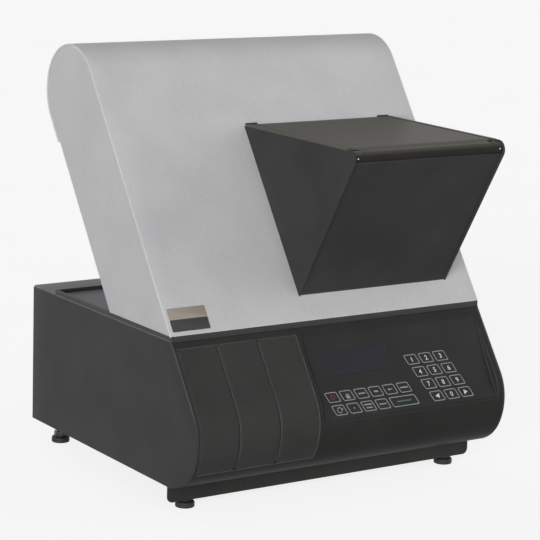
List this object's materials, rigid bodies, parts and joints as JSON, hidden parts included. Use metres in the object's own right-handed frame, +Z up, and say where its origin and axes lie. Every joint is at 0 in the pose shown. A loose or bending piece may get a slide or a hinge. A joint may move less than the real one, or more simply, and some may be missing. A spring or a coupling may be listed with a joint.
{
  "type": "coin sorting machine",
  "caption": "Table-top coin sorting machine with a leaning hood, a lidded wedge hopper, a coin drawer and a sloping keypad panel with a display window.",
  "frame": {"origin": "bottom centre of the bounding box, on the table under the feet", "axes": "+X to the operator's right, +Y to the machine's back, +Z up"},
  "size_m": [0.38, 0.356, 0.4402],
  "materials": {
    "cover_paint": "black textured powder coat",
    "chassis_paint": "black powder coat on folded steel",
    "moulding_abs": "black fine-textured ABS",
    "drawer_abs": "black satin ABS",
    "tray_steel": "zinc plated sheet",
    "overlay_film": "printed polyester film",
    "window_acrylic": "tinted acrylic",
    "display_glass": "liquid crystal module",
    "board_laminate": "solder masked laminate",
    "brass_post": "turned brass",
    "supply_case": "folded aluminium",
    "black_nylon": "moulded nylon",
    "rocker_plastic": "moulded nylon",
    "port_shell": "nickel plated shell",
    "foot_rubber": "moulded rubber",
    "plated_steel": "zinc plated steel",
    "hood_paint": "silver metallic powder coat",
    "hood_side_paint": "silver metallic powder coat",
    "plate_metal": "bare label plate, lower band black",
    "hopper_paint": "black powder coat",
    "lid_paint": "black powder coat",
    "rod_steel": "ground steel",
    "screw_black": "blackened screw",
    "deck_aluminium": "anodised plate",
    "bowl_plastic": "moulded acetal",
    "disc_plastic": "moulded polyurethane disc",
    "pulley_metal": "dark anodised",
    "belt_rubber": "moulded belt",
    "motor_steel": "grey enamel",
    "sensor_plastic": "moulded housing",
    "solenoid_paint": "lacquered steel",
    "chute_steel": "folded stainless sheet"
  },
  "bodies": {
    "housing": {"chassis": "chassis_paint", "base_cover": "cover_paint", "rear_panel": "cover_paint", "front_moulding": "moulding_abs", "drawer_runner_left": "plated_steel", "drawer_runner_right": "plated_steel", "keypad_overlay": "overlay_film", "display_window": "window_acrylic", "display_module": "display_glass", "control_board": "board_laminate", "main_board": "board_laminate", "board_standoffs": "brass_post", "power_supply": "supply_case", "power_inlet": "black_nylon", "switch_frame": "black_nylon", "data_ports": "port_shell", "fan_frame": "black_nylon", "hood_wrap": "hood_paint", "hood_side_left": "hood_side_paint", "hood_side_right": "hood_side_paint", "hood_back_panel": "hood_side_paint", "side_frame_left": "plated_steel", "side_frame_right": "plated_steel", "name_plate": "plate_metal", "hopper_body": "hopper_paint", "lid_hinge_rod": "rod_steel", "hinge_blocks": "black_nylon", "hopper_screws": "screw_black", "sorting_deck": "deck_aluminium", "feed_bowl": "bowl_plastic", "shaft_bearings": "plated_steel", "drive_belt": "belt_rubber", "motor_plate": "plated_steel", "drive_motor": "motor_steel", "coin_rail": "rod_steel", "sensor_head": "sensor_plastic", "gate_solenoid": "solenoid_paint", "accept_chute": "chute_steel", "reject_chute": "chute_steel", "panel_screws": "screw_black"},
    "lid": {"hopper_lid": "lid_paint"},
    "coin_drawer": {"drawer_front": "drawer_abs", "drawer_tray": "tray_steel", "drawer_divider": "tray_steel"},
    "feed_drive": {"feed_disc": "disc_plastic", "disc_shaft": "rod_steel", "disc_pulley": "pulley_metal"},
    "motor_drive": {"motor_pulley": "pulley_metal"},
    "gate": {"diverter_gate": "rod_steel"},
    "fan": {"fan_rotor": "black_nylon"},
    "rocker": {"power_rocker": "rocker_plastic"},
    "foot_front_left": {"foot_pad_front_left": "foot_rubber", "foot_stud_front_left": "plated_steel"},
    "foot_front_right": {"foot_pad_front_right": "foot_rubber", "foot_stud_front_right": "plated_steel"},
    "foot_back_left": {"foot_pad_back_left": "foot_rubber", "foot_stud_back_left": "plated_steel"},
    "foot_back_right": {"foot_pad_back_right": "foot_rubber", "foot_stud_back_right": "plated_steel"}
  },
  "joints": [
    {"name": "lid_hinge", "type": "hinge", "parent": "housing", "child": "lid", "pos_m": [0.0634, -0.17, 0.352], "axis": [1, 0, 0], "range_deg": [0, 165]},
    {"name": "drawer_slide", "type": "slide", "parent": "housing", "child": "coin_drawer", "axis": [0, -1, 0], "range_m": [0, 0.14]},
    {"name": "feed_spin", "type": "hinge", "parent": "housing", "child": "feed_drive", "pos_m": [0.0634, -0.01553, 0.25253], "axis": [0, -0.8211, 0.5707], "continuous": true},
    {"name": "motor_spin", "type": "hinge", "parent": "housing", "child": "motor_drive", "pos_m": [-0.03809, 0.04034, 0.30138], "axis": [0, -0.8211, 0.5707], "continuous": true},
    {"name": "gate_turn", "type": "hinge", "parent": "housing", "child": "gate", "pos_m": [-0.08909, -0.00123, 0.2731], "axis": [0, -0.8211, 0.5707], "range_deg": [0, 40]},
    {"name": "fan_spin", "type": "hinge", "parent": "housing", "child": "fan", "pos_m": [0.03, 0.16, 0.1005], "axis": [0, 1, 0], "continuous": true},
    {"name": "rocker_tilt", "type": "hinge", "parent": "housing", "child": "rocker", "pos_m": [0.108, 0.1715, 0.1105], "axis": [-1, 0, 0], "range_deg": [0, 18]},
    {"name": "foot_turn_front_left", "type": "hinge", "parent": "housing", "child": "foot_front_left", "pos_m": [-0.162, -0.095, 0.02], "axis": [0, 0, 1], "continuous": true},
    {"name": "foot_turn_front_right", "type": "hinge", "parent": "housing", "child": "foot_front_right", "pos_m": [0.162, -0.095, 0.02], "axis": [0, 0, 1], "continuous": true},
    {"name": "foot_turn_back_left", "type": "hinge", "parent": "housing", "child": "foot_back_left", "pos_m": [-0.162, 0.165, 0.02], "axis": [0, 0, 1], "continuous": true},
    {"name": "foot_turn_back_right", "type": "hinge", "parent": "housing", "child": "foot_back_right", "pos_m": [0.162, 0.165, 0.02], "axis": [0, 0, 1], "continuous": true}
  ],
  "couplings": [
    {"joint": "motor_spin", "follows": "feed_spin", "ratio": 4.0909}
  ]
}
